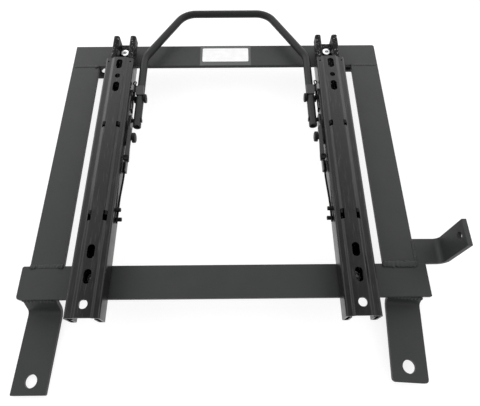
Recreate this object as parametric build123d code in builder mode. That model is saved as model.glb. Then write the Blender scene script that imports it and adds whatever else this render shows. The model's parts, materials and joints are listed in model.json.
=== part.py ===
from build123d import *
from math import cos, radians, sin, tan
import os

# Sliding seat bracket: a welded flat-bar base with two ball-guided rails that slide along Y,
# and a towel-bar handle that works a lock lever on the inner flank of each rail.
# Millimetres. +X is to the right, +Y points to the handle (front of the seat), +Z is up.
# The origin lies under the middle of the whole bracket, on the floor plane of its lowest feet.
# Sizes along X count from the plane midway between the rails, and along Y from the rails' datum.

os.makedirs("parts", exist_ok=True)

# Frame
frame_width = 446.8
frame_shift = -0.9
frame_length = 380.2
frame_front = 191.2
bar_width = 38.5
bar_thickness = 5.0
frame_top = 35.0
rear_crossbar_length = 466.0
front_corner_left = 1.0
front_corner_right = 3.0
rear_corner_left = 4.0
rear_corner_left_inner = 2.5
rear_corner_right = 0.8

# Feet and legs
foot_drop_left = 35.0
foot_drop_right = 24.0
foot_bend_radius = 7.0
leg_slant = 21.0
leg_lap = 24.0
leg_bend_inset = 2.0
leg_left_reach = 97.0
leg_right_reach = 88.0
leg_left_x = -210.2
leg_right_x = 205.8
leg_left_turn = -1.8
leg_right_turn = -3.7
leg_left_cut = 0.0
leg_right_cut = -3.7
leg_left_corner = 1.5
leg_right_corner = 4.0
foot_hole_radius = 7.2
foot_hole_inset_left = 14.5
foot_hole_inset_right = 16.0
front_foot_x = 188.0
front_foot_depth = 26.0
front_foot_back = 4.2

# Belt tab
tab_width = 30.0
tab_reach = 35.8
tab_height = 60.0
tab_bend_radius = 12.0
tab_hole_radius = 5.0
tab_hole_inset = 12.0

# Rails
rail_spacing = 291.8
rail_gap = 5.0
lower_sheet = 2.2
upper_sheet = 2.0
lower_inset_front = 4.7
lower_inset_rear = 1.0
lower_height = 20.0
lower_channel = 15.4
lower_width = 32.0
lower_lip_drop = 8.0
lower_skirt = 14.0
lock_cut_front = 152.0
upper_length = 353.5
upper_front = 138.0
upper_width = 38.0
upper_flank = 25.5
upper_crown = 28.0
upper_clearance = 1.5
crown_width = 16.9
crown_slope_outer = 3.6
crown_slope_inner = 2.4
crown_shift = 1.7
crown_bend = 3.4
curl_width = 7.7
curl_leg = 17.2
sheet_bend = 3.0
web_corner = 0.3

# Rail openings
seat_slot_width = 8.5
seat_slot_length = 16.5
seat_slots_front = (125.5, 86.0)
seat_slots_rear = (71.5, 43.5)
seat_slot_shift = 1.0
seat_hole_inset = 14.0
seat_hole_radius = 4.8
gauge_hole_radius = 3.6
gauge_hole_y = 104.6
pilot_radius = 1.25
pilot_x = 14.8
pilot_y = 132.0
relief_width = 4.6
relief_x = 8.9
relief_rows = ((25.5, 8.5), (-100.9, 12.5))

# Rail screws
screw_radius = 4.0
screw_clearance = 0.5
screw_head_radius = 6.3
screw_head_height = 4.2
screw_flat_radius = 5.0
screw_rim = 1.4
screw_socket = 5.0
screw_socket_depth = 2.6
screw_front_inset = 23.9
screw_rear_inset = 20.5
screw_shift = 1.0
nut_width = 13.0
nut_height = 6.5
nut_bore_play = 0.05
thread_end = 1.5
spacer_radius = 9.0

# Rolling parts
ball_radius = 1.7
ball_play = 0.3
ball_pitch = 30.0
balls_in_row = 3
ball_row_front = 75.0
ball_row_rear = -115.0
retainer_length = 72.0
retainer_sheet = 0.8
retainer_play = 0.15
roller_width = 9.0
roller_play = 0.3
roller_front_y = 60.0
roller_rear_y = -110.0

# Lock
tooth_pitch = 10.0
tooth_width = 4.0
tooth_height = 3.0
tooth_play = 0.4
tooth_first_y = 28.0
tooth_count = 2
window_width = 5.6
window_shift = -0.4
notch_width = 4.8
notch_depth = 4.0
notch_first_y = -12.0
notch_count = 17
bracket_sheet = 2.0
bracket_front = 92.0
bracket_rear = 6.0
bracket_low = 10.0
bracket_high = 27.0
bracket_high_front = 74.0
bracket_high_rear = 34.0
bracket_nose = 20.0
bracket_tail = 21.0
bracket_tail_front = 27.0
bracket_corner = 3.0
lever_sheet = 2.0
lever_gap = 0.3
lever_front = 48.5
lever_rear = -24.0
lever_low = 10.5
lever_high = 23.0
lever_flange = 119.9
lever_flange_slant = 5.0
lever_flange_step = 5.0
lever_flange_rear = 118.6
lever_nose = 12.0
lever_shoulder = 14.0
lever_belly = 22.0
lever_round = 2.0
stud_y = 15.5
stud_radius = 3.0
stud_head_radius = 6.6
stud_head = 4.2
stud_shoulder = 119.6
shoulder_radius = 3.5
shoulder_gap = 0.3
fork_front = -22.0
fork_rear = -38.0
fork_sheet = 1.2
fork_width = 5.2
fork_depth = 6.0
stop_screw_y = -19.0
stop_screw_x = 122.5
stop_head_radius = 4.0
stop_head_height = 2.5
stop_shank_radius = 2.0
stop_nut_height = 2.6
fit_play = 0.05

# Handle
tube_radius = 5.3
tube_wall = 1.5
tube_x = 115.6
tube_rise = 16.0
tube_rear = 32.5
handle_bar_y = 240.0
handle_shoulder_y = 152.0
handle_bar_half = 62.0
handle_bend_shoulder = 26.0
handle_bend_front = 30.0
pivot_y = 79.0
pivot_radius = 3.0
pivot_head_radius = 6.0
pivot_head = 3.0
pivot_head_gap = 0.3
pin_y = 42.5
pin_radius = 2.75
pin_slot_height = 6.7
pin_slot_length = 8.5
pin_overhang = 0.5
spring_tab_front = 96.5
spring_tab_rear = 81.0
spring_tab_step = 86.0
spring_tab_inner = 110.6
spring_tab_outer = 124.7
spring_tab_sheet = 2.0

# Springs
coil_wire = 0.8
coil_play = 0.15
coil_pitch = 1.8
coil_outer = 123.8
arm_rear_y = 56.5
hook_x = 123.4
hook_y = 100.8
hook_radius = 2.1
wire_radius = 1.2
wire_rise = 19.0
wire_front = -26.0
wire_rear = -106.0
anchor_high_y = -90.0
anchor_low_y = -99.0
anchor_radius = 2.5
anchor_reach = 6.0
rivet_radius = 3.0
rivet_head = 1.2
rivet_rise = 16.0
rivet_rows = (58.0, 89.0)
rest_lift = 0.8

# Label and welds
label_width = 68.0
label_height = 26.0
film_width = 75.0
label_y = 172.8
label_sheet = 0.3
bead_width = 5.5
bead_height = 1.4
bead_end = 1.0
lap_weld = 4.0

# Places worked out from the sizes above
frame_left = frame_shift - frame_width / 2
frame_right = frame_shift + frame_width / 2
left_reach = rear_crossbar_length / 2
right_reach = frame_right + tab_reach
front_reach = handle_bar_y + tube_radius
mid_x = (left_reach - right_reach) / 2
bar_front_y = frame_front
bar_rear_y = frame_front - frame_length
mid_y = (leg_left_reach - bar_rear_y - front_reach) / 2
frame_under = frame_top - bar_thickness
rail_x = rail_spacing / 2
rail_base = frame_top + rail_gap
web_top = rail_base + lower_sheet
lip_top = rail_base + lower_height
upper_base = rail_base + upper_clearance
flank_top = rail_base + upper_flank
crown_top = rail_base + upper_crown
wall_x = rail_x - upper_width / 2
tube_z = frame_top + tube_rise
lower_front = bar_front_y - lower_inset_front
lower_length = frame_length - lower_inset_front - lower_inset_rear
upper_rear = upper_front - upper_length
screw_front_y = bar_front_y - screw_front_inset
screw_rear_y = bar_rear_y + screw_rear_inset
screw_x = rail_x + screw_shift
nut_top = frame_under
screw_end = nut_top - nut_height - thread_end
mirror_plane = Plane.YZ.offset(mid_x)


def level(z):
    """Horizontal plane at height z, with its origin midway between the rails."""
    return Plane((mid_x, mid_y, z))


def side(x):
    """Upright plane across X at distance x from the rails' middle: its own axes are Y and Z."""
    return Plane(origin=(mid_x + x, mid_y, 0), x_dir=(0, 1, 0), z_dir=(1, 0, 0))


def section(x, y):
    """Upright plane across Y for a rail's section: its own axes are X and Z, normal to the rear."""
    return Plane(origin=(mid_x + x, mid_y + y, 0), x_dir=(1, 0, 0), z_dir=(0, -1, 0))


def save(piece, node):
    """Label one finished piece and write it."""
    piece.label = node
    export_step(piece, f"parts/{node}.step")


def save_pair(piece, stem):
    """Write a slider piece of the left rail and its mirror twin on the right rail."""
    save(piece, f"{stem}_left")
    with BuildPart() as twin:
        mirror(piece, about=mirror_plane)
    save(twin.part, f"{stem}_right")


# Crossbars and side bars: flat bar, butted edge to edge at one level
with BuildPart() as front_crossbar:
    with BuildSketch(level(frame_under)):
        with Locations((frame_shift, bar_front_y - bar_width / 2)):
            Rectangle(frame_width, bar_width)
        fillet(vertices().group_by(Axis.Y)[-1].sort_by(Axis.X)[0], front_corner_left)
        fillet(vertices().group_by(Axis.Y)[-1].sort_by(Axis.X)[-1], front_corner_right)
        with Locations((-screw_x, screw_front_y), (screw_x, screw_front_y)):
            Circle(screw_radius + screw_clearance, mode=Mode.SUBTRACT)
    extrude(amount=bar_thickness)
save(front_crossbar.part, "front_crossbar")

with BuildPart() as rear_crossbar:
    with BuildSketch(level(frame_under)):
        with Locations((0, bar_rear_y + bar_width / 2)):
            Rectangle(rear_crossbar_length, bar_width)
        fillet(vertices().group_by(Axis.X)[-1], rear_corner_right)
        fillet(vertices().group_by(Axis.Y)[0].sort_by(Axis.X)[0], rear_corner_left)
        fillet(vertices().group_by(Axis.Y)[-1].sort_by(Axis.X)[0], rear_corner_left_inner)
        with Locations((-screw_x, screw_rear_y), (screw_x, screw_rear_y)):
            Circle(screw_radius + screw_clearance, mode=Mode.SUBTRACT)
    extrude(amount=bar_thickness)
save(rear_crossbar.part, "rear_crossbar")

side_bars = {"left": frame_left + bar_width / 2, "right": frame_right - bar_width / 2}
for hand, bar_x in side_bars.items():
    with BuildPart() as side_bar:
        with BuildSketch(level(frame_under)):
            with Locations((bar_x, (bar_front_y + bar_rear_y) / 2)):
                Rectangle(bar_width, frame_length - 2 * bar_width)
        extrude(amount=bar_thickness)
    save(side_bar.part, f"side_bar_{hand}")


def lap_bead(x, y, facing):
    """Three-cornered weld in the angle between a crossbar's underside and the end of a lapped bar."""
    with BuildPart() as bead:
        with BuildSketch(side(x)):
            with BuildLine():
                toe = (y + facing * lap_weld, frame_under)
                Polyline((y, frame_under), toe, (y, frame_under - lap_weld), close=True)
            make_face()
        extrude(amount=bar_width / 2 - bead_end, both=True)
    return bead.part


def bent_leg(x, turn, cut, corner, drop, reach, hole_inset):
    """Rear leg: one flat bar lapped under the crossbar, bent down and out to its foot."""
    foot_top = frame_top - drop + bar_thickness
    fall = frame_under - foot_top
    bend_y = bar_rear_y + leg_bend_inset
    end_y = bar_rear_y - reach
    foot_y = bend_y - fall * sin(radians(leg_slant)) / cos(radians(leg_slant))
    bend = min(foot_bend_radius, fall * 0.4)
    with BuildPart() as leg:
        with BuildSketch(side(x)):
            with BuildLine():
                FilletPolyline(
                    (bend_y + leg_lap, frame_under),
                    (bend_y, frame_under),
                    (foot_y, foot_top),
                    (end_y - bar_thickness, foot_top),
                    radius=bend,
                )
                offset(amount=bar_thickness, side=Side.LEFT)
            make_face()
        extrude(amount=bar_width / 2, both=True)
        with BuildSketch(level(foot_top - bar_thickness)):
            with Locations((x, end_y + hole_inset)):
                Circle(foot_hole_radius)
        extrude(amount=bar_thickness, mode=Mode.SUBTRACT)
    swing = Axis((mid_x + x, mid_y + bar_rear_y, 0), (0, 0, 1))
    end_x = x + reach * tan(radians(turn))
    along = (-sin(radians(cut)), cos(radians(cut)), 0)
    with BuildPart() as trimmed:
        add(leg.part.rotate(swing, turn))
        split(bisect_by=Plane(origin=(mid_x + end_x, mid_y + end_y, 0), z_dir=along), keep=Keep.TOP)
        fillet(edges().filter_by(Axis.Z).group_by(Axis((0, 0, 0), along))[0], corner)
    return trimmed.part, lap_bead(x, bend_y + leg_lap, 1).rotate(swing, turn)


rear_leg_left, lap_weld_left = bent_leg(
    leg_left_x, leg_left_turn, leg_left_cut, leg_left_corner, foot_drop_left, leg_left_reach,
    foot_hole_inset_left)
save(rear_leg_left, "rear_leg_left")
rear_leg_right, lap_weld_right = bent_leg(
    leg_right_x, leg_right_turn, leg_right_cut, leg_right_corner, foot_drop_right, leg_right_reach,
    foot_hole_inset_right)
save(rear_leg_right, "rear_leg_right")


def bent_foot(x, drop):
    """Front foot: a flat bar folded into a C under the crossbar, open to the rear."""
    low = frame_top - drop
    front = bar_front_y - front_foot_back
    rear = front - front_foot_depth
    height = frame_under - low
    with BuildPart() as foot:
        with BuildSketch(side(x)):
            with BuildLine():
                FilletPolyline(
                    (rear, frame_under),
                    (front, frame_under),
                    (front, low),
                    (rear, low),
                    radius=min(foot_bend_radius, height * 0.4),
                )
                offset(amount=bar_thickness, side=Side.RIGHT)
            make_face()
        extrude(amount=bar_width / 2, both=True)
        with BuildSketch(level(low)):
            with Locations((x, rear + foot_hole_inset_left)):
                Circle(foot_hole_radius)
        extrude(amount=bar_thickness, mode=Mode.SUBTRACT)
    return foot.part


save(bent_foot(-front_foot_x, foot_drop_left), "front_foot_left")
save(bent_foot(front_foot_x, foot_drop_right), "front_foot_right")

# Belt tab: flat bar welded to the right side bar's edge and bent upright, with the buckle's tapped hole
tab_face = frame_right + tab_reach
tab_y = bar_rear_y + bar_width + tab_width / 2
tab_top = frame_top + tab_height
with BuildPart() as belt_tab:
    with BuildSketch(section(0, tab_y)):
        with BuildLine():
            FilletPolyline(
                (frame_right, frame_under),
                (tab_face, frame_under),
                (tab_face, tab_top),
                radius=tab_bend_radius,
            )
            offset(amount=bar_thickness, side=Side.LEFT)
        make_face()
    extrude(amount=tab_width / 2, both=True)
    with BuildSketch(side(tab_face - bar_thickness)):
        with Locations((tab_y, tab_top - tab_hole_inset)):
            Circle(tab_hole_radius)
    extrude(amount=bar_thickness, mode=Mode.SUBTRACT)
save(belt_tab.part, "belt_tab")

# Lower rail: U channel with lips turned out and down into skirts. Along the lock's travel the inner
# skirt is cut back to a short lip, which has the lock notches in its edge.
half_channel = lower_channel / 2
half_lower = lower_width / 2
lip_bend = min(sheet_bend, 0.45 * (half_lower - half_channel))
with BuildPart() as lower_rail:
    with BuildSketch(section(-rail_x, lower_front)):
        with BuildLine():
            FilletPolyline(
                (half_lower, lip_top - lower_skirt),
                (half_lower, lip_top),
                (half_channel, lip_top),
                (half_channel, web_top),
                (-half_channel, web_top),
                (-half_channel, lip_top),
                (-half_lower, lip_top),
                (-half_lower, lip_top - lower_skirt),
                radius=(lip_bend, lip_bend, web_corner, web_corner, lip_bend, lip_bend),
            )
            offset(amount=lower_sheet, side=Side.LEFT)
        make_face()
    extrude(amount=lower_length)
    with BuildSketch(level(rail_base)):
        with Locations((-screw_x, screw_front_y), (-screw_x, screw_rear_y)):
            Circle(screw_radius + screw_clearance)
    extrude(amount=lower_sheet, mode=Mode.SUBTRACT)
    with BuildSketch(side(-rail_x + half_lower - lower_sheet / 2)):
        with Locations((lock_cut_front, lip_top - lower_lip_drop)):
            Rectangle(lower_length, lower_skirt, align=(Align.MAX, Align.MAX))
        for step in range(notch_count):
            with Locations((notch_first_y + step * tooth_pitch, lip_top - lower_lip_drop)):
                Rectangle(notch_width, 2 * notch_depth)
    extrude(amount=lower_sheet, both=True, mode=Mode.SUBTRACT)
save_pair(lower_rail.part, "lower_rail")

# Upper rail: crowned hat with walls that curl in under the lower rail's lips
half_upper = upper_width / 2
crown_outer = crown_shift - crown_width / 2
crown_inner = crown_shift + crown_width / 2
curl_inner = half_upper - curl_width
slot_x = -rail_x + seat_slot_shift
slot_rows = seat_slots_front + tuple(upper_rear + inset for inset in seat_slots_rear)
with BuildPart() as upper_rail:
    with BuildSketch(section(-rail_x, upper_front)):
        with BuildLine():
            FilletPolyline(
                (-curl_inner, rail_base + curl_leg),
                (-curl_inner, upper_base),
                (-half_upper, upper_base),
                (-half_upper, flank_top),
                (crown_outer - crown_slope_outer, flank_top),
                (crown_outer, crown_top),
                (crown_inner, crown_top),
                (crown_inner + crown_slope_inner, flank_top),
                (half_upper, flank_top),
                (half_upper, upper_base),
                (curl_inner, upper_base),
                (curl_inner, rail_base + curl_leg),
                radius=3 * (sheet_bend,) + 4 * (crown_bend,) + 3 * (sheet_bend,),
            )
            offset(amount=upper_sheet, side=Side.RIGHT)
        make_face()
    extrude(amount=upper_length)
    with BuildSketch(level(crown_top)):
        for slot_y in slot_rows:
            with Locations((slot_x, slot_y)):
                SlotOverall(seat_slot_length, seat_slot_width, rotation=90)
        with Locations((slot_x, upper_rear + seat_hole_inset)):
            Circle(seat_hole_radius)
        with Locations((slot_x, gauge_hole_y)):
            Circle(gauge_hole_radius)
        for relief_y, relief_length in relief_rows:
            for edge in (-1, 1):
                with Locations((-rail_x + crown_shift + edge * relief_x, relief_y)):
                    Rectangle(relief_width, relief_length)
        for edge in (-1, 1):
            with Locations((-rail_x + edge * pilot_x, pilot_y)):
                Circle(pilot_radius)
    extrude(amount=-(upper_crown - upper_flank + 2 * upper_sheet), mode=Mode.SUBTRACT)
    window_low = lip_top - lower_lip_drop - 2 * tooth_height - notch_depth / 2
    window_high = lip_top - lower_lip_drop + 2 * tooth_play
    windows = [(tooth_first_y + window_shift + step * tooth_pitch, (window_low + window_high) / 2)
               for step in range(tooth_count)]
    with BuildSketch(side(-wall_x - upper_sheet / 2)):
        with Locations(*windows):
            Rectangle(window_width, window_high - window_low)
    extrude(amount=upper_sheet, both=True, mode=Mode.SUBTRACT)
save_pair(upper_rail.part, "upper_rail")

# Rail screws with domed heads and hexagon sockets, their spacers and nuts
rail_corners = [(x, y) for x in (-screw_x, screw_x) for y in (screw_front_y, screw_rear_y)]
with BuildPart() as rail_screw:
    with BuildSketch(Plane.XZ):
        with BuildLine():
            Polyline((0, web_top + screw_head_height), (0, screw_end), (screw_radius, screw_end))
            Line((screw_radius, screw_end), (screw_radius, web_top))
            Line((screw_radius, web_top), (screw_head_radius, web_top))
            Line((screw_head_radius, web_top), (screw_head_radius, web_top + screw_rim))
            crown_edge = (screw_flat_radius, web_top + screw_head_height)
            Spline(
                (screw_head_radius, web_top + screw_rim),
                crown_edge,
                tangents=((0, 1), (-1, 0)),
            )
            Line(crown_edge, (0, web_top + screw_head_height))
        make_face()
    revolve(axis=Axis.Z)
    with BuildSketch(Plane.XY.offset(web_top + screw_head_height)):
        RegularPolygon(screw_socket / 2, 6, major_radius=False)
    extrude(amount=-screw_socket_depth, mode=Mode.SUBTRACT)

with BuildPart() as rail_screws:
    with Locations(*[(mid_x + x, mid_y + y, 0) for x, y in rail_corners]):
        add(rail_screw.part)
save(rail_screws.part, "rail_screws")

with BuildPart() as rail_spacers:
    with BuildSketch(level(frame_top)):
        with Locations(*rail_corners):
            Circle(spacer_radius)
            Circle(screw_radius + screw_clearance, mode=Mode.SUBTRACT)
    extrude(amount=rail_gap)
save(rail_spacers.part, "rail_spacers")

with BuildPart() as rail_nuts:
    with BuildSketch(level(nut_top)):
        with Locations(*rail_corners):
            RegularPolygon(nut_width / 2, 6, major_radius=False)
            Circle(screw_radius + nut_bore_play, mode=Mode.SUBTRACT)
    extrude(amount=-nut_height)
save(rail_nuts.part, "rail_nuts")

# Balls, their retainer strips and the rollers, which all travel half as far as the rail
ball_x = half_upper - upper_sheet - ball_radius - ball_play
ball_z = flank_top - upper_sheet - ball_radius - ball_play
ball_rows = [row + (step - (balls_in_row - 1) / 2) * ball_pitch
             for row in (ball_row_front, ball_row_rear) for step in range(balls_in_row)]
ball_places = [(mid_x - rail_x + edge * ball_x, mid_y + y, ball_z) for edge in (-1, 1) for y in ball_rows]
with BuildPart() as balls:
    with Locations(*ball_places):
        Sphere(ball_radius)
save_pair(balls.part, "bearing_balls")

retainer_inner = half_lower - 2 * ball_radius
retainer_outer = half_upper - upper_sheet - ball_play
with BuildPart() as retainers:
    with BuildSketch(level(ball_z - retainer_sheet / 2)):
        for edge in (-1, 1):
            for row in (ball_row_front, ball_row_rear):
                with Locations((-rail_x + edge * (retainer_inner + retainer_outer) / 2, row)):
                    Rectangle(retainer_outer - retainer_inner, retainer_length)
            with Locations(*[(-rail_x + edge * ball_x, y) for y in ball_rows]):
                Circle(ball_radius + retainer_play, mode=Mode.SUBTRACT)
    extrude(amount=retainer_sheet)
save_pair(retainers.part, "ball_retainers")

roller_high = crown_top - upper_sheet - roller_play
roller_low = web_top + roller_play
roller_radius = (roller_high - roller_low) / 2
with BuildPart() as rollers:
    with BuildSketch(side(-rail_x)):
        with Locations(*[(y, roller_low + roller_radius) for y in (roller_front_y, roller_rear_y)]):
            Circle(roller_radius)
    extrude(amount=roller_width / 2, both=True)
    chamfer(edges().filter_by(GeomType.CIRCLE), 0.6)
save_pair(rollers.part, "rollers")

# Bracket plate on the rail's inner wall, open where the lock teeth pass
bracket_x = -wall_x + bracket_sheet
with BuildPart() as lever_bracket:
    with BuildSketch(side(-wall_x)):
        with BuildLine():
            FilletPolyline(
                (bracket_rear, frame_top + bracket_low),
                (bracket_front, frame_top + bracket_low),
                (bracket_front, frame_top + bracket_nose),
                (bracket_high_front, frame_top + bracket_high),
                (bracket_high_rear, frame_top + bracket_high),
                (bracket_tail_front, frame_top + bracket_tail),
                (bracket_rear, frame_top + bracket_tail),
                close=True,
                radius=bracket_corner,
            )
        make_face()
        with Locations(*windows):
            Rectangle(window_width, window_high - window_low, mode=Mode.SUBTRACT)
        with Locations((pivot_y, tube_z)):
            Circle(pivot_radius, mode=Mode.SUBTRACT)
        with Locations((stud_y, tube_z)):
            Circle(stud_radius, mode=Mode.SUBTRACT)
    extrude(amount=bracket_sheet)
save_pair(lever_bracket.part, "lever_bracket")

with BuildPart() as bracket_rivets:
    with BuildSketch(side(bracket_x)):
        with Locations(*[(y, frame_top + rivet_rise) for y in rivet_rows]):
            Circle(rivet_radius)
    extrude(amount=rivet_head)
    fillet(edges().group_by(Axis.X)[-1], rivet_head * 0.6)
save_pair(bracket_rivets.part, "bracket_rivets")

lever_x = bracket_x + lever_gap
lever_face = lever_x + lever_sheet
lever_face_x = -lever_face

# Pivot stud of the lock lever, with its shoulder and head
with BuildPart() as lever_stud:
    with BuildSketch(side(-wall_x)):
        with Locations((stud_y, tube_z)):
            Circle(stud_radius)
    extrude(amount=wall_x - stud_shoulder)
    with BuildSketch(side(-stud_shoulder)):
        with Locations((stud_y, tube_z)):
            Circle(shoulder_radius)
    extrude(amount=-(lever_face_x - shoulder_gap - stud_shoulder))
    with BuildSketch(side(-stud_shoulder)):
        with Locations((stud_y, tube_z)):
            Circle(stud_head_radius)
    extrude(amount=stud_head)
    fillet(edges().group_by(Axis.X)[-1], stud_head * 0.3)
save_pair(lever_stud.part, "lever_stud")

# Lock lever: upright web with two teeth, a stiffening flange on top and a fork at its tail
tooth_reach = rail_x - half_lower + tooth_play
tooth_top = lip_top - lower_lip_drop - tooth_play
with BuildPart() as lock_lever:
    with BuildSketch(side(lever_x)):
        with BuildLine():
            FilletPolyline(
                (lever_front, tube_z - pin_radius * 2),
                (lever_front, tube_z + pin_radius * 2),
                (lever_front - lever_nose, tube_z + pin_radius * 2),
                (stud_y + lever_shoulder, frame_top + lever_high),
                (lever_rear, frame_top + lever_high),
                (lever_rear, frame_top + lever_low + lever_round),
                (stud_y - lever_belly, frame_top + lever_low),
                close=True,
                radius=lever_round,
            )
        make_face()
        with Locations((stud_y, tube_z)):
            Circle(stud_radius + fit_play, mode=Mode.SUBTRACT)
        with Locations((pin_y, tube_z)):
            Circle(pin_radius, mode=Mode.SUBTRACT)
    extrude(amount=lever_sheet)
    with BuildSketch(level(frame_top + lever_high - lever_sheet)):
        with BuildLine():
            Polyline(
                (lever_face, stud_y + lever_shoulder),
                (-lever_flange, stud_y + lever_shoulder - lever_flange_slant),
                (-lever_flange, lever_flange_step),
                (-lever_flange_rear, lever_rear),
                (lever_face, lever_rear),
                close=True,
            )
        make_face()
    extrude(amount=lever_sheet)
    with BuildSketch(level(frame_top + lever_high - lever_sheet)):
        with Locations((-stop_screw_x, stop_screw_y)):
            Circle(stop_shank_radius)
    extrude(amount=lever_sheet, mode=Mode.SUBTRACT)
    with BuildSketch(level(tooth_top - tooth_height)):
        for step in range(tooth_count):
            with Locations((-(tooth_reach - lever_x) / 2, tooth_first_y + step * tooth_pitch)):
                Rectangle(tooth_reach + lever_x, tooth_width)
    extrude(amount=tooth_height)
    fork_low = frame_top + wire_rise - wire_radius - fit_play
    with BuildSketch(level(fork_low - fork_sheet)):
        with Locations((lever_face - lever_sheet / 2, (fork_front + fork_rear) / 2)):
            Rectangle(fork_width, fork_front - fork_rear)
    extrude(amount=fork_sheet)
    with BuildSketch(level(fork_low)):
        with Locations((lever_face - lever_sheet / 2, (lever_rear + fork_rear) / 2)):
            Rectangle(fork_width, lever_rear - fork_rear)
            Rectangle(fork_width - 2 * fork_sheet, lever_rear - fork_rear, mode=Mode.SUBTRACT)
    extrude(amount=fork_depth)
save_pair(lock_lever.part, "lock_lever")

# Pin that ties the lever to the handle's tube, and the stop screw on the flange
pin_end = -tube_x + tube_radius + pin_overhang
with BuildPart() as lever_pin:
    with BuildSketch(side(lever_x)):
        with Locations((pin_y, tube_z)):
            Circle(pin_radius)
    extrude(amount=pin_end - lever_x)
save_pair(lever_pin.part, "lever_pin")

flange_top = frame_top + lever_high
with BuildPart() as stop_screw:
    with BuildSketch(level(flange_top)):
        with Locations((-stop_screw_x, stop_screw_y)):
            Circle(stop_head_radius)
            Circle(stop_shank_radius, mode=Mode.SUBTRACT)
    extrude(amount=stop_head_height)
    fillet(edges().group_by(Axis.Z)[-1].sort_by(SortBy.LENGTH)[-1], stop_head_height * 0.4)
    with BuildSketch(level(flange_top - lever_sheet)):
        with Locations((-stop_screw_x, stop_screw_y)):
            Circle(stop_shank_radius)
    extrude(amount=lever_sheet + stop_head_height * 0.6)
save_pair(stop_screw.part, "stop_screw")

# Handle: one tube bent to a towel bar, open at both rear ends
with BuildPart() as handle_bar:
    with BuildLine() as handle_path:
        FilletPolyline(
            *[(mid_x + x, mid_y + y, tube_z) for x, y in (
                (-tube_x, tube_rear),
                (-tube_x, handle_shoulder_y),
                (-handle_bar_half, handle_bar_y),
                (handle_bar_half, handle_bar_y),
                (tube_x, handle_shoulder_y),
                (tube_x, tube_rear),
            )],
            radius=(handle_bend_shoulder, handle_bend_front, handle_bend_front, handle_bend_shoulder),
        )
    with BuildSketch(Plane(origin=handle_path.line @ 0, z_dir=handle_path.line % 0)):
        Circle(tube_radius)
        Circle(tube_radius - tube_wall, mode=Mode.SUBTRACT)
    sweep()
    with BuildSketch(side(0)):
        with Locations((pivot_y, tube_z)):
            Circle(pivot_radius + fit_play)
        with Locations((pin_y, tube_z)):
            SlotOverall(pin_slot_length, pin_slot_height)
    extrude(amount=tube_x + tube_radius, both=True, mode=Mode.SUBTRACT)
save(handle_bar.part, "handle_bar")

# Spring tab welded on the tube, reaching to the rail
with BuildPart() as spring_tab:
    with BuildSketch(level(tube_z + tube_radius - spring_tab_sheet / 2)):
        with BuildLine():
            Polyline(
                (-spring_tab_outer, spring_tab_front),
                (-spring_tab_inner, spring_tab_front),
                (-spring_tab_inner, spring_tab_rear),
                (-tube_x - tube_radius, spring_tab_rear),
                (-tube_x - tube_radius, spring_tab_step),
                (-spring_tab_outer, spring_tab_step),
                close=True,
            )
        make_face()
    extrude(amount=spring_tab_sheet)
    with BuildSketch(section(-tube_x, spring_tab_front + 1)):
        with Locations((0, tube_z)):
            Circle(tube_radius)
    extrude(amount=spring_tab_front - spring_tab_rear + 2, mode=Mode.SUBTRACT)
save_pair(spring_tab.part, "spring_tab")

# Handle pivot bolt, from the bracket through the tube to its head
head_x = -tube_x + tube_radius + pivot_head_gap
with BuildPart() as handle_bolt:
    with BuildSketch(side(-wall_x)):
        with Locations((pivot_y, tube_z)):
            Circle(pivot_radius)
    extrude(amount=wall_x + head_x)
    with BuildSketch(side(head_x)):
        with Locations((pivot_y, tube_z)):
            Circle(pivot_head_radius)
    extrude(amount=pivot_head)
    fillet(edges().group_by(Axis.X)[-1], pivot_head * 0.15)
save_pair(handle_bolt.part, "handle_bolt")

# Return spring: one coil round the pivot bolt, both arms on top, the front one hooked past the tab
arm_z = tube_z + tube_radius + spring_tab_sheet / 2 + coil_wire + coil_play
rest_z = frame_top + rivet_rise + rivet_radius + coil_wire + rest_lift
coil_radius = tube_radius + coil_play
coil_steps = 12
coil_points = [
    (
        -coil_outer + coil_pitch * step / coil_steps,
        pivot_y + coil_radius * sin(radians(360 * step / coil_steps)),
        tube_z + coil_radius * cos(radians(360 * step / coil_steps)),
    )
    for step in range(1, coil_steps)
]
hook_points = [
    (
        -hook_x + hook_radius * cos(radians(turn)),
        hook_y + hook_radius * sin(radians(turn)),
        arm_z - turn / 90,
    )
    for turn in range(0, 271, 45)
]
rear_arm = [(-coil_outer, arm_rear_y, rest_z), (-coil_outer, (arm_rear_y + pivot_y) / 2, rest_z)]
arm_x = -coil_outer + coil_pitch
front_arm = [(arm_x, spring_tab_step, arm_z), (arm_x, spring_tab_front, arm_z)]
spring_points = rear_arm + coil_points + front_arm + hook_points
with BuildPart() as return_spring:
    with BuildLine() as spring_path:
        Spline(*[(mid_x + x, mid_y + y, z) for x, y, z in spring_points])
    with BuildSketch(Plane(origin=spring_path.line @ 0, z_dir=spring_path.line % 0)):
        Circle(coil_wire)
    sweep()
save_pair(return_spring.part, "return_spring")

# Wire spring that lies in the lever's fork, held between two anchor pins on the rail's wall
wire_x = lever_face - lever_sheet / 2
wire_z = frame_top + wire_rise
with BuildPart() as wire_spring:
    with BuildSketch(section(wire_x, wire_front)):
        with Locations((0, wire_z)):
            Circle(wire_radius)
    extrude(amount=wire_front - wire_rear)
    fillet(edges().filter_by(GeomType.CIRCLE), wire_radius * 0.3)
save_pair(wire_spring.part, "wire_spring")

anchor_offset = wire_radius + anchor_radius + fit_play
with BuildPart() as anchor_pins:
    with BuildSketch(side(-wall_x)):
        with Locations((anchor_high_y, wire_z + anchor_offset), (anchor_low_y, wire_z - anchor_offset)):
            Circle(anchor_radius)
    extrude(amount=anchor_reach)
    fillet(edges().group_by(Axis.X)[-1], 0.4)
save_pair(anchor_pins.part, "anchor_pins")

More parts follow.
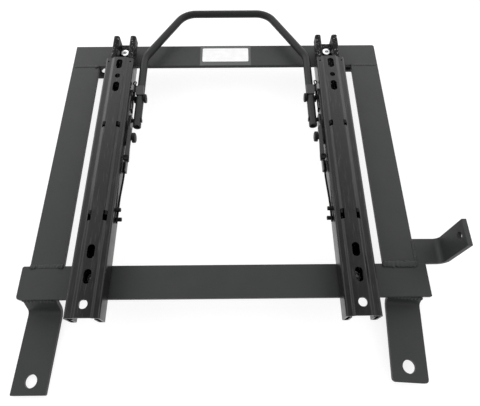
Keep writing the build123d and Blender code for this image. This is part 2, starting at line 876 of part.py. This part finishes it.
# Label and its clear film on the front crossbar
with BuildPart() as label_film:
    with BuildSketch(level(frame_top)):
        with Locations((frame_shift, bar_front_y - bar_width / 2)):
            Rectangle(film_width, bar_width)
    extrude(amount=label_sheet)
save(label_film.part, "label_film")

with BuildPart() as label_plate:
    with BuildSketch(level(frame_top + label_sheet)):
        with Locations((frame_shift, label_y)):
            RectangleRounded(label_width, label_height, 2)
    extrude(amount=label_sheet)
save(label_plate.part, "label_plate")

# Weld beads on top of the four butt seams and along the tab, and in the angles of the lapped bars
bead_sphere = (bead_width ** 2 / 4 + bead_height ** 2) / (2 * bead_height)


def bead_profile(centre, height):
    """Round back of a bead that stands on a face at the given height."""
    with Locations((centre, height + bead_height - bead_sphere)):
        Circle(bead_sphere)
    with Locations((centre, height - bead_sphere)):
        Rectangle(4 * bead_sphere, 2 * bead_sphere, mode=Mode.SUBTRACT)


with BuildPart() as weld_beads:
    for seam_x in side_bars.values():
        with BuildSketch(side(seam_x)):
            bead_profile(bar_front_y - bar_width, frame_top)
        with BuildSketch(side(seam_x)):
            bead_profile(bar_rear_y + bar_width, frame_top)
        extrude(amount=bar_width / 2 - bead_end, both=True)
    with BuildSketch(section(0, tab_y)):
        bead_profile(frame_right, frame_top)
    extrude(amount=tab_width / 2 - bead_end, both=True)
    add(lap_weld_left)
    add(lap_weld_right)
    for foot_x in (-front_foot_x, front_foot_x):
        add(lap_bead(foot_x, bar_front_y - front_foot_back - front_foot_depth, -1))
save(weld_beads.part, "weld_beads")
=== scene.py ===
"""Looks of the sliding seat bracket: powder-coated flat-bar base, black rails, release handle and lock gear.

Lengths are metres in the part's own frame: X to the right, Y to the handle, Z up, floor at Z = 0.
"""

import json
import math

import bmesh
import bpy
import numpy as np
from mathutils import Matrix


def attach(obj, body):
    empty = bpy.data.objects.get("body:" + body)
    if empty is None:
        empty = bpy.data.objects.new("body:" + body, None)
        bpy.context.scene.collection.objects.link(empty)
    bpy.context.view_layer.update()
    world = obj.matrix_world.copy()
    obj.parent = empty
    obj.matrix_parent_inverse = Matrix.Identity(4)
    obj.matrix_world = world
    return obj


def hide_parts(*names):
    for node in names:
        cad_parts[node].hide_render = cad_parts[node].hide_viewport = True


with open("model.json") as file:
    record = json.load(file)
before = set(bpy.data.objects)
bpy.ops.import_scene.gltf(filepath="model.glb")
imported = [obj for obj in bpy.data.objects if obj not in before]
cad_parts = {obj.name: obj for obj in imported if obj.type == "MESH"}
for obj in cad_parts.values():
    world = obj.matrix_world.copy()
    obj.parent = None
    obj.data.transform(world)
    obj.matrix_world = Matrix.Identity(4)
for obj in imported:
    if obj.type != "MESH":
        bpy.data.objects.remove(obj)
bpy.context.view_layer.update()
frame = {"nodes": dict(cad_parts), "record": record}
scene = bpy.context.scene
nodes = frame["nodes"]

# The point midway between the rails, which every size below is counted from
MID_X = -0.01265
MID_Y = 0.02035
FRAME_TOP = 0.035

# Camera
VIEW_FOCAL_PX = 420.0
VIEW_WIDTH_PX = 480
VIEW_PITCH = 64.461
VIEW_YAW = 0.501
VIEW_PLACE = (0.004023, -0.275281, 0.504382)


def place_camera():
    """The photograph's camera: above the rear of the bracket, tipped steeply down to it."""
    lens = bpy.data.cameras.new("photo_camera")
    lens.sensor_width = 36.0
    lens.lens = VIEW_FOCAL_PX * lens.sensor_width / VIEW_WIDTH_PX
    lens.clip_start = 0.01
    lens.clip_end = 20.0
    camera = bpy.data.objects.new("photo_camera", lens)
    scene.collection.objects.link(camera)
    camera.location = VIEW_PLACE
    camera.rotation_euler = (math.radians(90 - VIEW_PITCH), 0, math.radians(-VIEW_YAW))
    scene.camera = camera


# Finishes
class Finish:
    """A material under construction, with short names for the nodes it needs."""

    def __init__(self, name):
        self.material = bpy.data.materials.new(name)
        self.material.use_nodes = True
        self.tree = self.material.node_tree
        self.shader = self.tree.nodes["Principled BSDF"]
        self.place = self.add("ShaderNodeTexCoord").outputs["Object"]

    def add(self, kind, **settings):
        """One node, with its properties set."""
        node = self.tree.nodes.new(kind)
        for key, value in settings.items():
            setattr(node, key, value)
        return node

    def join(self, source, target):
        self.tree.links.new(source, target)

    def put(self, **values):
        """Plain numbers and colours straight on the shader's own sockets."""
        for key, value in values.items():
            self.shader.inputs[key.replace("_", " ").title().replace("Ior", "IOR")].default_value = value

    def stretched(self, scale):
        """The object's own coordinates, scaled along each axis."""
        mapping = self.add("ShaderNodeMapping")
        mapping.inputs["Scale"].default_value = scale
        self.join(self.place, mapping.inputs["Vector"])
        return mapping.outputs["Vector"]

    def noise(self, scale, detail=2.0, rough=0.5, along=None):
        """Fractal noise between 0 and 1; scale counts its lumps per metre."""
        node = self.add("ShaderNodeTexNoise")
        node.inputs["Scale"].default_value = scale
        node.inputs["Detail"].default_value = detail
        node.inputs["Roughness"].default_value = rough
        self.join(along or self.place, node.inputs["Vector"])
        return node.outputs["Fac"]

    def ramp(self, value, *stops):
        """Colour ramp through (place, colour) stops."""
        node = self.add("ShaderNodeValToRGB")
        while len(node.color_ramp.elements) < len(stops):
            node.color_ramp.elements.new(0.5)
        for element, (where, colour) in zip(node.color_ramp.elements, stops):
            element.position = where
            element.color = (*colour, 1.0)
        self.join(value, node.inputs["Fac"])
        return node.outputs["Color"]

    def spread(self, value, low, high, start=0.0, end=1.0):
        """The value moved from start..end to low..high."""
        node = self.add("ShaderNodeMapRange")
        for key, number in (("From Min", start), ("From Max", end), ("To Min", low), ("To Max", high)):
            node.inputs[key].default_value = number
        self.join(value, node.inputs["Value"])
        return node.outputs["Result"]

    def mixed(self, amount, first, second):
        """Colour mix of two colour outputs, which a Mix node takes at its sockets 6 and 7."""
        node = self.add("ShaderNodeMix", data_type="RGBA")
        self.join(amount, node.inputs[0])
        self.join(first, node.inputs[6])
        self.join(second, node.inputs[7])
        return node.outputs[2]

    def edges(self, radius, low=0.8, high=0.985):
        """1 along sharp edges and 0 on flats: how far the rounded normal leaves the true one."""
        soft = self.add("ShaderNodeBevel", samples=6)
        soft.inputs["Radius"].default_value = radius
        meet = self.add("ShaderNodeVectorMath", operation="DOT_PRODUCT")
        self.join(soft.outputs["Normal"], meet.inputs[0])
        self.join(self.add("ShaderNodeNewGeometry").outputs["Normal"], meet.inputs[1])
        return self.spread(meet.outputs["Value"], 1.0, 0.0, low, high)

    def bumped(self, *layers, edge=0.0003):
        """Stacks bump layers (height, strength, distance) on a normal that rounds the edges."""
        node = self.add("ShaderNodeBevel", samples=4)
        node.inputs["Radius"].default_value = edge
        normal = node.outputs["Normal"]
        for height, strength, distance in layers:
            bump = self.add("ShaderNodeBump")
            bump.inputs["Strength"].default_value = strength
            bump.inputs["Distance"].default_value = distance
            self.join(height, bump.inputs["Height"])
            self.join(normal, bump.inputs["Normal"])
            normal = bump.outputs["Normal"]
        self.join(normal, self.shader.inputs["Normal"])


def grey(level, warmth=0.0):
    """Neutral colour, slightly warm or cold, from a linear level."""
    return (level * (1 + warmth), level, level * (1 - warmth))


def powder_coat(name, level, rough, peel, edge, shine=0.28):
    """Baked powder coat: fine orange peel, faint clouds of tone, settled dusty specks, and edges lightened
    for the thin coat there and as painted highlight.
    """
    coat = Finish(name)
    coat.put(specular_ior_level=shine)
    clouds = coat.noise(45.0, 4.0, 0.6)
    colour = coat.ramp(clouds, (0.3, (level * 0.93, level * 0.98, level * 0.97)),
                       (0.7, (level * 1.03, level * 1.08, level * 1.06)))
    grains = coat.noise(2600.0, 1.0)
    specks = coat.ramp(grains, (0.66, (0.0, 0.0, 0.0)), (0.74, (1.0, 1.0, 1.0)))
    pale = coat.ramp(clouds, (0.0, grey(level * 1.6)), (1.0, grey(level * 1.8)))
    speckled = coat.mixed(coat.spread(specks, 0.0, 0.4), colour, pale)
    # Edges lightened towards the pale tone: partly the thin coat, partly a painted highlight along the
    # edges.
    bare_and_highlit = coat.mixed(coat.spread(coat.edges(0.0007), 0.0, 0.7), speckled, pale)
    coat.join(bare_and_highlit, coat.shader.inputs["Base Color"])
    coat.join(coat.spread(coat.noise(420.0, 3.0), rough - 0.06, rough + 0.06, 0.3, 0.7),
              coat.shader.inputs["Roughness"])
    coat.bumped((coat.noise(900.0, 2.0), peel, 0.0002), (grains, peel * 0.4, 0.0001), edge=edge)
    return coat.material


def rolled_black(name, level, rough, streak=0.25, edge=0.0004, dust_and_glints=0.0, gloss=0.0, wear_and_highlight=0.0, scuffs=0.0,
                 shine=0.32, speck_size=1500.0, speck_tone=0.06, speck_level=0.64):
    """Black electro-coat on rolled strip: long draw lines, dull patches, dusty specks that on the greased
    rail also stand in as painted glints, and edges lightened for rubbing and as painted highlight.
    """
    coat = Finish(name)
    coat.put(coat_weight=gloss, coat_roughness=0.12, specular_ior_level=shine)
    lines = coat.noise(1.0, 2.0, 0.6, coat.stretched((900.0, 14.0, 900.0)))
    clouds = coat.noise(60.0, 4.0, 0.65)
    base = coat.ramp(clouds, (0.3, grey(level * 0.8)), (0.75, grey(level * 1.25)))
    # Bright specks: dusty specks, and with the greased rail's settings also painted glints on the lips.
    dust_and_glint_specks = coat.ramp(coat.noise(speck_size, 3.0, 0.7), (speck_level, (0.0, 0.0, 0.0)),
                      (speck_level + 0.08, (1.0, 1.0, 1.0)))
    pale = coat.ramp(lines, (0.0, grey(speck_tone + level, 0.03)), (1.0, grey(2 * speck_tone + level, 0.03)))
    speckled = coat.mixed(coat.spread(dust_and_glint_specks, 0.0, dust_and_glints), base, pale)
    scores = coat.noise(1.0, 1.0, 0.4, coat.stretched((1300.0, 45.0, 1300.0)))
    scored = coat.mixed(coat.spread(scores, 0.0, scuffs, 0.62, 0.8), speckled, pale)
    # Edges lightened towards the pale tone: partly rubbed metal, partly a painted highlight along the bends
    # and edges.
    rubbed_and_highlit = coat.mixed(coat.spread(coat.edges(0.0005), 0.0, wear_and_highlight), scored, pale)
    coat.join(rubbed_and_highlit, coat.shader.inputs["Base Color"])
    coat.join(coat.spread(clouds, rough - 0.07, rough + 0.09, 0.25, 0.75), coat.shader.inputs["Roughness"])
    coat.bumped((lines, streak, 0.00008), (coat.noise(700.0, 2.0), 0.12, 0.0001), edge=edge)
    return coat.material


def plated(name, level, rough, scratch=0.3):
    """Bright plated or polished steel with hair scratches and a faint bloom."""
    metal = Finish(name)
    metal.put(metallic=1.0)
    bloom = metal.noise(350.0, 3.0)
    metal.join(metal.ramp(bloom, (0.3, (level * 0.9, level * 0.92, level * 0.95)), (0.7, grey(level))),
               metal.shader.inputs["Base Color"])
    metal.join(metal.spread(bloom, rough - 0.08, rough + 0.1, 0.3, 0.7), metal.shader.inputs["Roughness"])
    metal.bumped((metal.noise(1.0, 2.0, 0.6, metal.stretched((4000.0, 500.0, 4000.0))), scratch, 0.00004))
    return metal.material


def moulded(name, colour, rough):
    """Moulded nylon: even tone, fine matt grain."""
    nylon = Finish(name)
    clouds = nylon.noise(120.0, 3.0)
    nylon.join(nylon.ramp(clouds, (0.3, tuple(c * 0.92 for c in colour)), (0.7, colour)),
               nylon.shader.inputs["Base Color"])
    nylon.join(nylon.spread(clouds, rough - 0.05, rough + 0.05), nylon.shader.inputs["Roughness"])
    nylon.bumped((nylon.noise(1800.0, 2.0), 0.2, 0.0001))
    return nylon.material


FINISHES = {
    "frame_coat": powder_coat("frame_powder_coat", 0.036, 0.5, 0.22, 0.0006),
    "rail_coat": rolled_black("rail_black", 0.006, 0.3, dust_and_glints=0.5, gloss=0.22, wear_and_highlight=0.6, scuffs=0.5,
                              shine=0.25),
    # The greased rail's bright specks are painted glints as well as dusty specks.
    "greased_rail": rolled_black("greased_rail", 0.002, 0.42, dust_and_glints=1.0, gloss=0.0, wear_and_highlight=0.6, scuffs=0.0,
                                 shine=0.1, speck_size=430.0, speck_tone=0.4, speck_level=0.607),
    "bracket_coat": rolled_black("bracket_black", 0.008, 0.36, gloss=0.25, wear_and_highlight=0.5, scuffs=0.3,
                                 shine=0.25),
    "lever_coat": rolled_black("lever_black", 0.012, 0.4, gloss=0.3, wear_and_highlight=0.4),
    "handle_coat": powder_coat("handle_black", 0.021, 0.42, 0.12, 0.0003, shine=0.22),
    "zinc": plated("zinc_bright", 0.85, 0.3),
    "spacer": rolled_black("spacer_black", 0.01, 0.5),
    "black_oxide": rolled_black("oxide_black", 0.004, 0.5, wear_and_highlight=0.15, shine=0.2),
    "spring_wire": rolled_black("oiled_wire", 0.003, 0.6, shine=0.12),
    "bearing_steel": plated("bearing_steel", 0.8, 0.16),
    "retainer": moulded("retainer_nylon", (0.55, 0.52, 0.42), 0.45),
    "roller": moulded("roller_nylon", (0.03, 0.03, 0.03), 0.4),
    "label_white": moulded("label_paper", (0.92, 0.92, 0.92), 0.5),
    "label_film": moulded("label_film", (0.06, 0.063, 0.063), 0.25),
}

# Shading of the nodes: how far apart doubled points may lie, and the angle from which an edge stays sharp
WELD_GAP = 0.000002
CREASE_ANGLE = 32


def dress_nodes():
    """Gives every node of the frame its finish, smooth shading, a welded skin and creased edges."""
    slots = {entry["node"]: entry["material_slot"] for entry in frame["record"]["subparts"]}
    slots.update(lower_rail_left="greased_rail", lower_rail_right="greased_rail")
    for name, node in nodes.items():
        node.data.materials.clear()
        node.data.materials.append(FINISHES[slots[name]])
        node.data.polygons.foreach_set("use_smooth", np.ones(len(node.data.polygons), dtype=bool))
        weld = node.modifiers.new("weld", "WELD")
        weld.merge_threshold = WELD_GAP
        split = node.modifiers.new("crease", "EDGE_SPLIT")
        split.split_angle = math.radians(CREASE_ANGLE)


# Small formed pieces, in millimetres from the point midway between the rails, with Z from the floor.
# AROUND is the number of points round a section, and THINNEST what is left of it at a pinched end.
AROUND = 20
THINNEST = 0.0004
SIDES = (("left", -1), ("right", 1))
ALONG_X = (1, 0, 0)
UPWARD = (0, 0, 1)

# Welds: seams between the bars, then legs and feet that lap under them
BAR_TOP = FRAME_TOP * 1000
BAR_UNDER = BAR_TOP - 5.0
SEAM_X = {"left": -205.05, "right": 203.25}
SEAM_Y = {"rear": -150.5, "front": 152.7}
REAR_EDGE = -189.0
LEG_SEATS = ((-210.2, -1.8, 53), (205.8, -3.7, 61))
LEG_LAP = 26.6
FOOT_SEATS = ((-188.0, 71), (188.0, 83))
FOOT_LAP_Y = 160.4

# Beads on top of the bars: side, seam, both ends from the seam's middle, then the sizes of weld_bead
TOP_BEADS = (
    ("right", "rear", (-21.0, -0.6), (20.5, -1.0), (8.0, 1.7, 3, 0.1, 5.2, 0.6)),
    ("left", "rear", (-18.6, -0.4), (18.4, -0.4), (4.6, 0.5, 11, 0.3, 3.4)),
    ("left", "rear", (-19.4, -0.6), (-13.0, -0.8), (5.6, 1.5, 17, 0.1, 3.0)),
    ("left", "rear", (12.6, -0.4), (19.2, -0.2), (6.0, 1.7, 23, 0.1, 3.0)),
    ("left", "front", (-18.4, 0.0), (18.4, 0.0), (5.0, 0.45, 29, 0.35, 3.6)),
    ("left", "front", (13.0, -1.2), (19.2, -0.8), (5.0, 1.6, 31, 0.1, 3.0)),
    ("right", "front", (-18.6, 0.0), (18.4, 0.0), (5.0, 0.45, 37, 0.35, 3.6)),
)
TAB_SEAM = ((222.5, -149.6, BAR_TOP), (222.5, -121.6, BAR_TOP))
TAB_BEAD = {"width": 3.6, "height": 0.6, "seed": 41, "ripple": 0.25, "pitch": 3.2}

# Beads across the laps: at a leg's or foot's inner end, and at the toe where a leg leaves the rear bar
LAP_REACH = 18.0
LAP_BEAD = {"width": 5.4, "height": 2.6, "ripple": 0.14, "pitch": 4.0}
TOE_REACH = 18.2
TOE_BEAD = {"width": 4.4, "height": 1.6, "ripple": 0.2, "pitch": 3.8}

# Lanced tabs: slot fronts along Y, and each tab's offset from the rail's middle with its height
RAIL_X = 145.9
LANCE_FRONTS = (30.35, -94.05)
LANCE_SEATS = ((-10.4, 64.7), (7.4, 66.3))
LANCE_LENGTH = 4.8
LANCE_DROP = 1.5
LANCE_HALF_WIDTH = 1.7
LANCE_SHEET = 1.4

# Thread of the belt tab's hole: where its ridge starts on the hole's axis, and its radius, pitch and turns
THREAD_START = (253.75, -135.5, 83.0)
THREAD_RADIUS = 4.95
THREAD_PITCH = 1.27
THREAD_TURNS = 3.25
RIDGE_HALF_WIDTH = 0.52
RIDGE_HEIGHT = 0.6

# Lever wires: middle and front end, then the lean to the wall and the stretch of Y in which it happens
WIRE_X = 123.6
WIRE_Z = 54.0
WIRE_RADIUS = 1.2
WIRE_FRONT = -26.0
WIRE_LENGTH = 80.0
WIRE_LEAN = 1.9
LEAN_START = -38.0
LEAN_LENGTH = 48.0


def pinched(t, sharpness, root=0.25):
    """Thickness from one end to the other: (1 - |2t - 1|^sharpness)^root, never quite nothing."""
    return np.clip(1 - np.abs(2 * t - 1) ** sharpness, THINNEST, 1) ** root


def swept_shell(path, across, up, half_width, height, power, under=0.25):
    """Closed shell carried along a path, pinched to a point at both ends.

    P(s, v) = path(s) + across(s) * half_width(s) * C(v)^power + up(s) * height(s, v) * S(v)^power,
    where C and S are the cosine and sine of v with their signs kept, and the part under the path is
    `under` times as deep as the part above it.
    """
    turn = np.linspace(0.0, 2 * np.pi, AROUND, endpoint=False)
    wide = np.sign(np.cos(turn)) * np.abs(np.cos(turn)) ** power
    tall = np.sign(np.sin(turn)) * np.abs(np.sin(turn)) ** power
    tall = np.where(tall < 0, under * tall, tall)
    across, up = (np.broadcast_to(v, path.shape) for v in (across, up))
    rings = (path[:, None, :] + across[:, None, :] * (half_width[:, None] * wide)[:, :, None]
             + up[:, None, :] * (height * tall)[:, :, None])
    count = len(path)
    points = np.concatenate([rings.reshape(-1, 3), path[:1], path[-1:]])
    ring, step = np.meshgrid(np.arange(count - 1), np.arange(AROUND), indexing="ij")
    after = (step + 1) % AROUND
    quads = np.stack([ring * AROUND + step, ring * AROUND + after,
                      (ring + 1) * AROUND + after, (ring + 1) * AROUND + step], axis=-1).reshape(-1, 4)
    step = np.arange(AROUND)
    after = (step + 1) % AROUND
    first = np.stack([after, step, np.full(AROUND, count * AROUND)], axis=-1)
    top = (count - 1) * AROUND
    last = np.stack([top + step, top + after, np.full(AROUND, count * AROUND + 1)], axis=-1)
    return points, (quads, first, last)


def build_piece(name, shells, body, slot):
    """One object from closed shells, turned outwards, in the part's own metres."""
    points, faces, start = [], [], 0
    for shell_points, face_groups in shells:
        points.append(shell_points)
        for group in face_groups:
            faces += (group + start).tolist()
        start += len(shell_points)
    places = (np.concatenate(points) + (MID_X * 1000, MID_Y * 1000, 0)) / 1000
    mesh = bpy.data.meshes.new(name)
    mesh.from_pydata(places.tolist(), [], faces)
    mesh.update()
    shape = bmesh.new()
    shape.from_mesh(mesh)
    bmesh.ops.recalc_face_normals(shape, faces=shape.faces)
    shape.to_mesh(mesh)
    shape.free()
    mesh.polygons.foreach_set("use_smooth", np.ones(len(mesh.polygons), dtype=bool))
    mesh.materials.append(FINISHES[slot])
    piece = bpy.data.objects.new(name, mesh)
    scene.collection.objects.link(piece)
    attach(piece, body)
    return piece


def wander(s, seed, *lengths):
    """Slow irregular wave along s, about -1 to 1: a sum of sines with seeded phases, one per length."""
    phases = np.random.default_rng(seed).uniform(0, 2 * np.pi, len(lengths))
    waves = (np.sin(2 * np.pi * s / length + phase) for length, phase in zip(lengths, phases))
    return sum(waves) / len(lengths)


def weld_bead(start, end, up, width, height, seed, ripple=0.12, pitch=4.0, power=0.8):
    """Arc-welded bead: crescents of one pitch each, with a wandering width and tapered ends.

    Height = height * taper(s) * (1 + ripple * cos(2 pi (s / pitch - C(v)^2 / 2))), the taper being the
    fourth root of 1 - (2 s / length - 1)^6, and the centre line wanders by a tenth of the width.
    """
    start, end, up = (np.array(v, dtype=float) for v in (start, end, up))
    length = np.linalg.norm(end - start)
    s = np.linspace(0.0, length, max(24, int(length / 0.45)))
    along = (end - start) / length
    up = up / np.linalg.norm(up)
    side = np.cross(along, up)
    taper = pinched(s / length, 6)
    drift = 0.1 * width * wander(s, seed, 11.0, 6.3, 3.9) * taper
    path = start + along * s[:, None] + side * drift[:, None]
    half = width / 2 * taper * (1 + 0.13 * wander(s, seed + 1, 9.0, 4.7, 2.6))
    turn = np.linspace(0.0, 2 * np.pi, AROUND, endpoint=False)
    crescents = np.cos(2 * np.pi * (s[:, None] / pitch - np.cos(turn)[None, :] ** 2 / 2))
    swell = 0.15 * wander(s, seed + 2, 13.0, 5.1)
    rise = height * taper[:, None] * (1 + ripple * crescents + swell[:, None])
    return swept_shell(path, side, up, half, rise, power)


def lay_welds():
    """The four butt seams, the tab's seam, and the laps of legs and feet."""
    beads = []
    for hand, seam, start, end, sizes in TOP_BEADS:
        ends = [(SEAM_X[hand] + x, SEAM_Y[seam] + y, BAR_TOP) for x, y in (start, end)]
        beads.append(weld_bead(*ends, UPWARD, *sizes))
    beads.append(weld_bead(*TAB_SEAM, UPWARD, **TAB_BEAD))
    for x, turn, seed in LEG_SEATS:
        swing = math.radians(turn)
        spread = np.array([math.cos(swing), math.sin(swing), 0])
        ahead = np.array([-math.sin(swing), math.cos(swing), 0])
        lap = np.array([x, REAR_EDGE, BAR_UNDER - 0.6]) + LEG_LAP * ahead
        lap_ends = (lap - LAP_REACH * spread, lap + LAP_REACH * spread)
        beads.append(weld_bead(*lap_ends, (0, 0.7, -0.7), seed=seed, **LAP_BEAD))
        toe = np.array([x, REAR_EDGE - 0.2, BAR_UNDER + 0.4])
        toe_ends = (toe - TOE_REACH * spread, toe + TOE_REACH * spread)
        beads.append(weld_bead(*toe_ends, (0, -0.8, 0.6), seed=seed + 4, **TOE_BEAD))
    for x, seed in FOOT_SEATS:
        ends = [(x + reach, FOOT_LAP_Y, BAR_UNDER - 0.6) for reach in (-LAP_REACH, LAP_REACH)]
        beads.append(weld_bead(*ends, (0, -0.7, -0.7), seed=seed, **LAP_BEAD))
    welds = build_piece("laid_weld_beads", beads, "base", "frame_coat")
    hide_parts("weld_beads")


def bend_lances():
    """Small tabs lanced out of the crown's relief slots: flat strips that dip to the rear.

    Each follows z = height - 1.5 * t^1.5 over t = 0..1 from the slot's front end, 4.8 long.
    """
    t = np.linspace(0.0, 1.0, 14)
    pinch = pinched(t, 14)
    for hand, sign in SIDES:
        strips = []
        for front in LANCE_FRONTS:
            for offset, height in LANCE_SEATS:
                path = np.stack([np.full(len(t), sign * (RAIL_X + offset)), front - LANCE_LENGTH * t,
                                 height - LANCE_DROP * t ** 1.5], axis=1)
                strips.append(swept_shell(path, ALONG_X, UPWARD, LANCE_HALF_WIDTH * pinch,
                                          LANCE_SHEET * pinch[:, None], 0.35))
        build_piece(f"lanced_tabs_{hand}", strips, f"carriage_{hand}", "rail_coat")


def cut_thread():
    """Thread in the belt tab's hole: a shallow ridge on a helix of radius 4.95 and pitch 1.27."""
    t = np.linspace(0.0, 1.0, 150)
    turn = 2 * np.pi * THREAD_TURNS * t
    still = np.zeros_like(turn)
    spoke = np.stack([still, np.cos(turn), np.sin(turn)], axis=1)
    advance = np.stack([THREAD_PITCH * THREAD_TURNS * t, still, still], axis=1)
    path = THREAD_START + THREAD_RADIUS * spoke + advance
    ease = pinched(t, 20)
    ridge = swept_shell(path, ALONG_X, -spoke, RIDGE_HALF_WIDTH * ease, RIDGE_HEIGHT * ease[:, None], 1.4)
    build_piece("tab_hole_thread", [ridge], "base", "frame_coat")


def run_lever_wires():
    """Round wire springs from the levers' forks to the rails' walls.

    Each leans to the wall by 1.9 * q^2 * (3 - 2q) on its way back, with q from 0 at y -38 to 1 at y -86.
    """
    t = np.linspace(0.0, 1.0, 80)
    along = WIRE_FRONT - WIRE_LENGTH * t
    q = np.clip((LEAN_START - along) / LEAN_LENGTH, 0.0, 1.0)
    lean = WIRE_LEAN * q ** 2 * (3 - 2 * q)
    thick = WIRE_RADIUS * pinched(t, 60, 0.5)
    for hand, sign in SIDES:
        path = np.stack([sign * (WIRE_X + lean), along, np.full(len(t), WIRE_Z)], axis=1)
        wire = swept_shell(path, ALONG_X, UPWARD, thick, thick[:, None], 1.0, under=1.0)
        piece = build_piece(f"lever_wire_{hand}", [wire], f"carriage_{hand}", "spring_wire")
        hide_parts(f"wire_spring_{hand}")


# Studio
FLOOR_HALF = 3.0
FLOOR_GAP = 0.0004
FLOOR_GLOW = 0.8
FLOOR_PAINT = 0.32
SKY_STOPS = ((0.0, 0.15), (0.25, 0.35), (0.45, 0.8), (0.68, 1.0), (0.84, 0.5), (0.93, 0.26), (1.0, 0.2))
SKY_GAIN = 2.25
SKY_REAR = 0.42
SKY_TURN = (-0.6, 0.3)
BOX_PLACE = (1.1, 1.0, 0.38)
BOX_SIZE = (1.2, 0.7)
BOX_WATTS = {"left": 4.2, "right": 2.8}


def white_for_camera(tree, lit, strength):
    """Adds a white glow to a shader for camera and glossy rays, and leaves other rays the plain shader."""
    path = tree.nodes.new("ShaderNodeLightPath")
    glow = tree.nodes.new("ShaderNodeEmission")
    glow.inputs["Strength"].default_value = strength
    both = tree.nodes.new("ShaderNodeAddShader")
    tree.links.new(lit, both.inputs[0])
    tree.links.new(glow.outputs[0], both.inputs[1])
    choice = tree.nodes.new("ShaderNodeMixShader")
    any_view = tree.nodes.new("ShaderNodeMath")
    any_view.operation = "MAXIMUM"
    tree.links.new(path.outputs["Is Camera Ray"], any_view.inputs[0])
    tree.links.new(path.outputs["Is Glossy Ray"], any_view.inputs[1])
    tree.links.new(any_view.outputs[0], choice.inputs[0])
    tree.links.new(lit, choice.inputs[1])
    tree.links.new(both.outputs[0], choice.inputs[2])
    return choice.outputs[0]


def lay_floor():
    """Plain pale floor that keeps soft shadows."""
    sheet = bpy.data.meshes.new("studio_floor")
    half = FLOOR_HALF
    corners = [(-half, -half, 0), (half, -half, 0), (half, half, 0), (-half, half, 0)]
    sheet.from_pydata(corners, [], [(0, 1, 2, 3)])
    floor = bpy.data.objects.new("studio_floor", sheet)
    scene.collection.objects.link(floor)
    floor.location.z = -FLOOR_GAP
    paint = bpy.data.materials.new("studio_white")
    paint.use_nodes = True
    tree = paint.node_tree
    tree.nodes.clear()
    out = tree.nodes.new("ShaderNodeOutputMaterial")
    matt = tree.nodes.new("ShaderNodeBsdfDiffuse")
    matt.inputs["Color"].default_value = (FLOOR_PAINT, FLOOR_PAINT, FLOOR_PAINT, 1)
    tree.links.new(white_for_camera(tree, matt.outputs[0], FLOOR_GLOW), out.inputs["Surface"])
    sheet.materials.append(paint)


def hang_lamp(name, place, size, power):
    """Soft box: an oblong area lamp turned to the object."""
    lamp = bpy.data.lights.new(name, "AREA")
    lamp.shape = "RECTANGLE"
    lamp.size, lamp.size_y = size
    lamp.energy = power
    holder = bpy.data.objects.new(name, lamp)
    scene.collection.objects.link(holder)
    holder.location = place
    x, y, z = place
    holder.rotation_euler = (math.atan2(math.hypot(x, y), z), 0, math.atan2(-y, -x) - math.pi / 2)


def light_studio():
    """Dim room, brightest halfway up the sky and darker to the rear, and a soft box on either side."""
    world = bpy.data.worlds.new("studio")
    scene.world = world
    world.use_nodes = True
    tree = world.node_tree
    background = tree.nodes["Background"]
    background.inputs["Color"].default_value = (1, 1, 1, 1)
    heading = tree.nodes.new("ShaderNodeTexCoord")
    parts = tree.nodes.new("ShaderNodeSeparateXYZ")
    tree.links.new(heading.outputs["Generated"], parts.inputs[0])
    sky = tree.nodes.new("ShaderNodeValToRGB")
    while len(sky.color_ramp.elements) < len(SKY_STOPS):
        sky.color_ramp.elements.new(0.5)
    for element, (where, level) in zip(sky.color_ramp.elements, SKY_STOPS):
        element.position = where
        element.color = (level, level, level, 1)
    tree.links.new(parts.outputs["Z"], sky.inputs["Fac"])
    rear = tree.nodes.new("ShaderNodeMapRange")
    rear.inputs["From Min"].default_value, rear.inputs["From Max"].default_value = SKY_TURN
    rear.inputs["To Min"].default_value = SKY_GAIN * SKY_REAR
    rear.inputs["To Max"].default_value = SKY_GAIN
    tree.links.new(parts.outputs["Y"], rear.inputs["Value"])
    dimmed = tree.nodes.new("ShaderNodeMath")
    dimmed.operation = "MULTIPLY"
    tree.links.new(sky.outputs["Color"], dimmed.inputs[0])
    tree.links.new(rear.outputs["Result"], dimmed.inputs[1])
    # The camera sees plain white: sockets 2 and 3 of a Mix node are the numbers it blends
    path = tree.nodes.new("ShaderNodeLightPath")
    level = tree.nodes.new("ShaderNodeMix")
    level.inputs[3].default_value = 1.0
    tree.links.new(path.outputs["Is Camera Ray"], level.inputs[0])
    tree.links.new(dimmed.outputs[0], level.inputs[2])
    tree.links.new(level.outputs[0], background.inputs["Strength"])
    away, ahead, height = BOX_PLACE
    for hand, sign in SIDES:
        hang_lamp(f"{hand}_box", (sign * away, ahead, height), BOX_SIZE, BOX_WATTS[hand])


place_camera()
dress_nodes()
lay_welds()
bend_lances()
cut_thread()
run_lever_wires()
lay_floor()
light_studio()
scene.view_settings.view_transform = "Standard"
